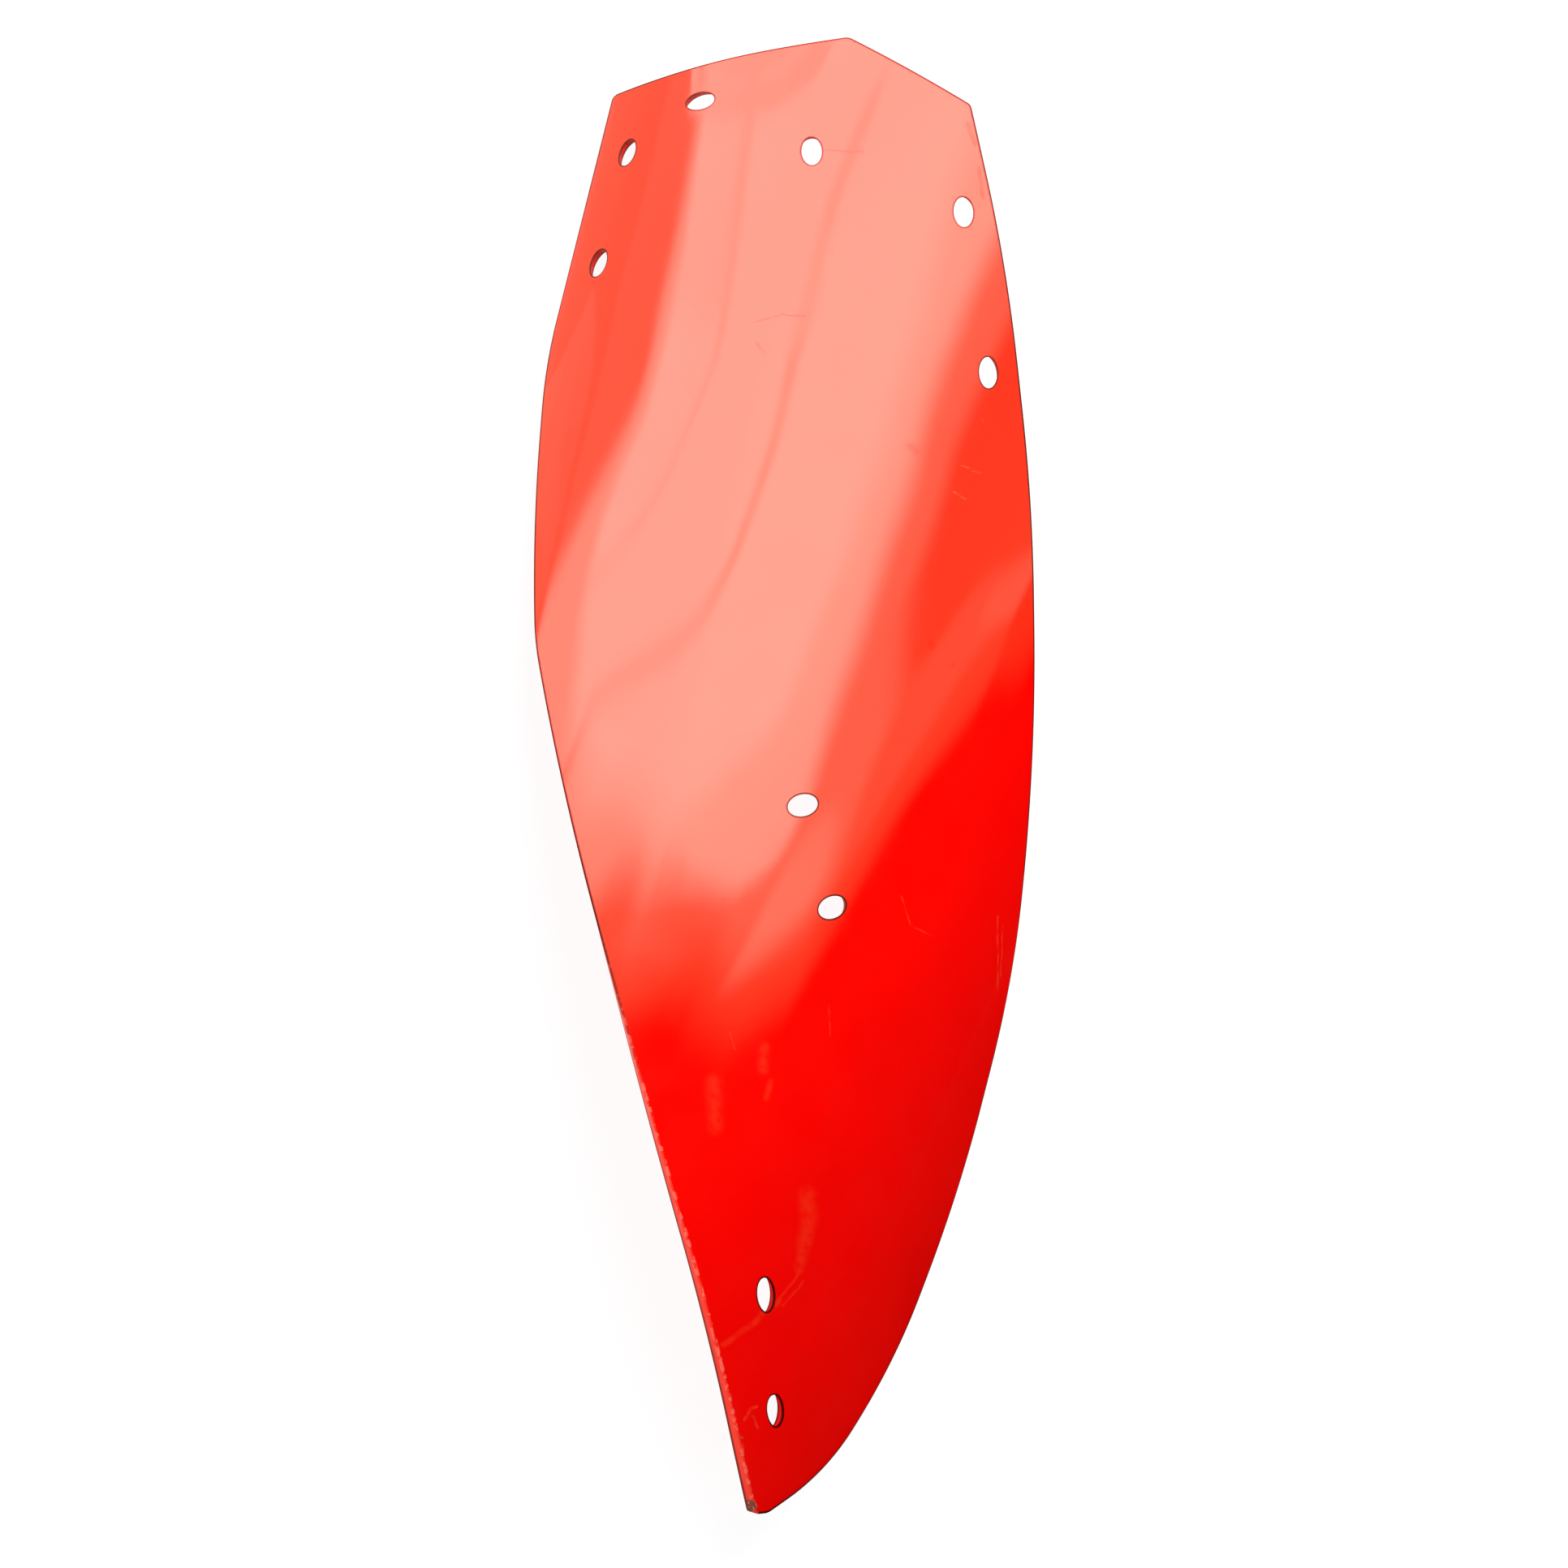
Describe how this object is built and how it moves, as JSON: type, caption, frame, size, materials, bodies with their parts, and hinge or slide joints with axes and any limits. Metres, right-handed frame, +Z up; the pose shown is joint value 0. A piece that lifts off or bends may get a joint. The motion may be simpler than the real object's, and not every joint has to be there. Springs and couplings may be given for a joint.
{
  "type": "plough mouldboard",
  "caption": "Right-hand plough mouldboard: a leaf-shaped pressed steel plate, rolled and twisted, with oval countersunk bolt holes, lying with its back upwards.",
  "frame": {"origin": "on the ground under the middle of the plate's bounding box, as it lies at rest with its back upwards", "axes": "+Z up from the ground; +Y along the plate's length, from the tail towards the shin and point; +X across it, from the share edge towards the crown"},
  "size_m": [0.35, 1.0116, 0.1785],
  "materials": {
    "red_paint": "gloss red paint over steel, lightly scratched, with small chips at the tail"
  },
  "bodies": {
    "root": {"mouldboard": "red_paint"}
  },
  "joints": []
}
